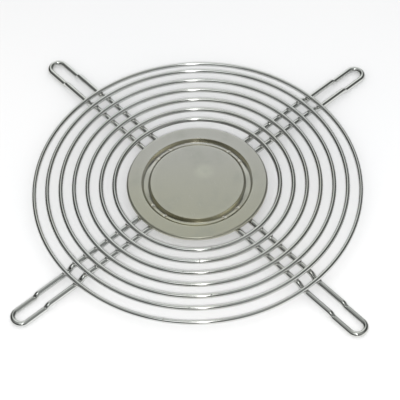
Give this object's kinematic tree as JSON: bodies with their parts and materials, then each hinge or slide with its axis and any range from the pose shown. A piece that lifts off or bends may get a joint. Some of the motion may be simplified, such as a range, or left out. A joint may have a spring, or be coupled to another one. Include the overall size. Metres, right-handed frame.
{
  "type": "wire fan guard",
  "caption": "Round wire finger guard for an axial fan: concentric wire rings and a pressed centre disc welded on bent-wire arms that end in screw ears.",
  "frame": {"origin": "on the guard's axis, in the plane of the four ears' undersides, where they meet the fan", "axes": "+Z along the guard's axis, away from the fan; the four arms and their ears lie on the diagonals of X and Y"},
  "size_m": [0.1162, 0.1162, 0.0054],
  "materials": {
    "ring_wire": "bright nickel plating on drawn steel wire",
    "arm_wire": "bright nickel plating on drawn steel wire",
    "disc_plate": "nickel plating on pressed steel sheet, satin"
  },
  "bodies": {
    "root": {"centre_disc": "disc_plate", "ring_1": "ring_wire", "ring_2": "ring_wire", "ring_3": "ring_wire", "ring_4": "ring_wire", "ring_5": "ring_wire", "ring_6": "ring_wire", "ring_7": "ring_wire", "arm_1": "arm_wire", "arm_2": "arm_wire", "arm_3": "arm_wire", "arm_4": "arm_wire"}
  },
  "joints": []
}
